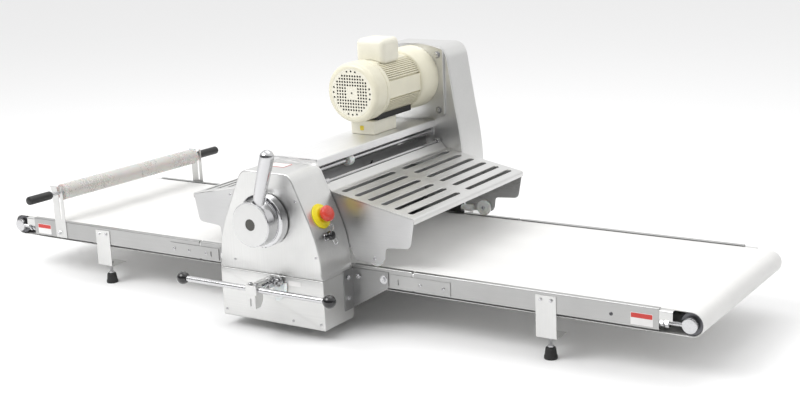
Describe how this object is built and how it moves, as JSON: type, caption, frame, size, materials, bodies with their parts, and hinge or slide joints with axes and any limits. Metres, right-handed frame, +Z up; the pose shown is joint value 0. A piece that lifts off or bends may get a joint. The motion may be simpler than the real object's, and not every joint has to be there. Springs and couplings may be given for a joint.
{
  "type": "dough sheeter",
  "caption": "Table-top reversible dough sheeter: a steel head with press rollers, gap dial, motor and hinged guards between two belt tables on levelling feet, with a rolling pin on forks.",
  "frame": {"origin": "centre of the machine's footprint, at the bottom of its feet", "axes": "+X along the belts to the right as the operator sees them, +Y away from the operator, +Z up"},
  "size_m": [2.025, 0.8658, 0.642],
  "materials": {
    "brushed_steel": "brushed stainless sheet",
    "polished_steel": "polished stainless",
    "machined_steel": "turned steel",
    "cream_paint": "smooth cream enamel",
    "white_belt": "white coated conveyor belt",
    "white_nylon": "white nylon",
    "black_plastic": "glossy black phenolic",
    "black_rubber": "black rubber",
    "yellow_plastic": "yellow plastic",
    "red_plastic": "red plastic",
    "clear_plastic": "greyish translucent plastic"
  },
  "bodies": {
    "frame": {"base_tray": "brushed_steel", "base_cover_front": "brushed_steel", "side_plate_front": "brushed_steel", "side_plate_rear": "brushed_steel", "front_housing": "brushed_steel", "rear_housing": "brushed_steel", "bridge_cover": "brushed_steel", "lower_scrapers": "brushed_steel", "guard_rod_left": "polished_steel", "guard_rod_right": "polished_steel", "motor_body": "cream_paint", "motor_fan_cover": "cream_paint", "motor_terminal_box": "cream_paint", "motor_support_box": "cream_paint", "drive_belt": "black_rubber", "stop_collar": "yellow_plastic", "cable_gland": "black_plastic", "table_frame_left": "brushed_steel", "belt_left": "white_belt", "table_frame_right": "brushed_steel", "belt_right": "white_belt", "leg_bracket_left_front": "brushed_steel", "head_bracket_left_front": "brushed_steel", "leg_bracket_left_rear": "brushed_steel", "head_bracket_left_rear": "brushed_steel", "leg_bracket_right_front": "brushed_steel", "head_bracket_right_front": "brushed_steel", "leg_bracket_right_rear": "brushed_steel", "head_bracket_right_rear": "brushed_steel", "pin_fork_front": "brushed_steel", "pin_fork_rear": "brushed_steel"},
    "carriage": {"roller_carriage": "brushed_steel"},
    "upper_press": {"upper_roller": "machined_steel"},
    "lower_press": {"lower_roller": "machined_steel", "drive_pulley": "machined_steel"},
    "drive_left": {"drive_roller_left": "machined_steel"},
    "drive_right": {"drive_roller_right": "machined_steel"},
    "end_left": {"end_roller_left": "machined_steel"},
    "end_right": {"end_roller_right": "machined_steel"},
    "rotor": {"motor_rotor": "machined_steel"},
    "gap_control": {"gap_dial": "polished_steel", "gap_lever": "polished_steel"},
    "shift_control": {"shift_hub": "brushed_steel", "shift_bar": "brushed_steel", "shift_ball_left": "black_plastic", "shift_ball_right": "black_plastic"},
    "stop": {"stop_button": "red_plastic"},
    "knob": {"wing_knob": "polished_steel"},
    "guard_left": {"guard_left": "brushed_steel"},
    "guard_right": {"guard_right": "brushed_steel"},
    "wheel_left_front": {"guard_wheel_left_front": "white_nylon"},
    "wheel_left_rear": {"guard_wheel_left_rear": "white_nylon"},
    "wheel_right_front": {"guard_wheel_right_front": "white_nylon"},
    "wheel_right_rear": {"guard_wheel_right_rear": "white_nylon"},
    "foot_left_front": {"levelling_foot_left_front": "black_rubber"},
    "foot_left_rear": {"levelling_foot_left_rear": "black_rubber"},
    "foot_right_front": {"levelling_foot_right_front": "black_rubber"},
    "foot_right_rear": {"levelling_foot_right_rear": "black_rubber"},
    "pin": {"pin_axle": "black_plastic"},
    "pin_sleeve": {"pin_tube": "clear_plastic"}
  },
  "joints": [
    {"name": "carriage_lift", "type": "slide", "parent": "frame", "child": "carriage", "axis": [0, 0, 1], "range_m": [-0.015, 0.015]},
    {"name": "gap_turn", "type": "hinge", "parent": "frame", "child": "gap_control", "pos_m": [0.002, -0.3874, 0.282], "axis": [0, 1, 0], "range_deg": [-105, 105]},
    {"name": "upper_spin", "type": "hinge", "parent": "carriage", "child": "upper_press", "pos_m": [0, 0.0326, 0.21], "axis": [0, 1, 0], "continuous": true},
    {"name": "lower_spin", "type": "hinge", "parent": "frame", "child": "lower_press", "pos_m": [0, 0.0326, 0.122], "axis": [0, 1, 0], "continuous": true},
    {"name": "drive_left_spin", "type": "hinge", "parent": "frame", "child": "drive_left", "pos_m": [-0.066, 0.0326, 0.128], "axis": [0, 1, 0], "continuous": true},
    {"name": "drive_right_spin", "type": "hinge", "parent": "frame", "child": "drive_right", "pos_m": [0.066, 0.0326, 0.128], "axis": [0, 1, 0], "continuous": true},
    {"name": "end_left_spin", "type": "hinge", "parent": "frame", "child": "end_left", "pos_m": [-0.985, 0.0326, 0.128], "axis": [0, 1, 0], "continuous": true},
    {"name": "end_right_spin", "type": "hinge", "parent": "frame", "child": "end_right", "pos_m": [0.985, 0.0326, 0.128], "axis": [0, 1, 0], "continuous": true},
    {"name": "rotor_spin", "type": "hinge", "parent": "frame", "child": "rotor", "pos_m": [0.006, 0.1826, 0.518], "axis": [0, 1, 0], "continuous": true},
    {"name": "shift_rock", "type": "hinge", "parent": "frame", "child": "shift_control", "pos_m": [0, -0.3874, 0.128], "axis": [0, 1, 0], "range_deg": [-15, 15]},
    {"name": "stop_press", "type": "slide", "parent": "frame", "child": "stop", "axis": [-0.9091, 0, -0.4167], "range_m": [0, 0.006], "stiffness_N_per_m": 400},
    {"name": "knob_turn", "type": "hinge", "parent": "frame", "child": "knob", "pos_m": [0.13666, -0.3024, 0.24214], "axis": [0.9594, 0, 0.2821], "range_deg": [-90, 90]},
    {"name": "guard_right_lift", "type": "hinge", "parent": "frame", "child": "guard_right", "pos_m": [0.08, 0.0326, 0.348], "axis": [0, -1, 0], "range_deg": [0, 70]},
    {"name": "guard_left_lift", "type": "hinge", "parent": "frame", "child": "guard_left", "pos_m": [-0.08, 0.0326, 0.348], "axis": [0, 1, 0], "range_deg": [0, 70]},
    {"name": "wheel_left_front_spin", "type": "hinge", "parent": "guard_left", "child": "wheel_left_front", "pos_m": [-0.216, -0.2227, 0.1783], "axis": [0, 1, 0], "continuous": true},
    {"name": "wheel_left_rear_spin", "type": "hinge", "parent": "guard_left", "child": "wheel_left_rear", "pos_m": [-0.216, 0.2879, 0.1783], "axis": [0, 1, 0], "continuous": true},
    {"name": "wheel_right_front_spin", "type": "hinge", "parent": "guard_right", "child": "wheel_right_front", "pos_m": [0.216, -0.2227, 0.1783], "axis": [0, 1, 0], "continuous": true},
    {"name": "wheel_right_rear_spin", "type": "hinge", "parent": "guard_right", "child": "wheel_right_rear", "pos_m": [0.216, 0.2879, 0.1783], "axis": [0, 1, 0], "continuous": true},
    {"name": "foot_left_front_turn", "type": "hinge", "parent": "frame", "child": "foot_left_front", "pos_m": [-0.66, -0.2134, 0.03], "axis": [0, 0, 1], "continuous": true},
    {"name": "foot_left_rear_turn", "type": "hinge", "parent": "frame", "child": "foot_left_rear", "pos_m": [-0.66, 0.2786, 0.03], "axis": [0, 0, 1], "continuous": true},
    {"name": "foot_right_front_turn", "type": "hinge", "parent": "frame", "child": "foot_right_front", "pos_m": [0.66, -0.2134, 0.03], "axis": [0, 0, 1], "continuous": true},
    {"name": "foot_right_rear_turn", "type": "hinge", "parent": "frame", "child": "foot_right_rear", "pos_m": [0.66, 0.2786, 0.03], "axis": [0, 0, 1], "continuous": true},
    {"name": "pin_lift", "type": "slide", "parent": "frame", "child": "pin", "axis": [0, 0, 1], "range_m": [0, 0.1]},
    {"name": "pin_tube_spin", "type": "hinge", "parent": "pin", "child": "pin_sleeve", "pos_m": [-0.794, 0.0326, 0.2385], "axis": [0.0638, 0.998, 0], "continuous": true}
  ],
  "couplings": [
    {"joint": "gap_turn", "follows": "carriage_lift", "rad_per_m": 122},
    {"joint": "upper_spin", "follows": "lower_spin", "ratio": -1},
    {"joint": "drive_left_spin", "follows": "lower_spin", "ratio": 1.3091},
    {"joint": "drive_right_spin", "follows": "lower_spin", "ratio": 1.3091},
    {"joint": "end_left_spin", "follows": "lower_spin", "ratio": 1.3091},
    {"joint": "end_right_spin", "follows": "lower_spin", "ratio": 1.3091},
    {"joint": "rotor_spin", "follows": "lower_spin", "ratio": 2.4921}
  ]
}
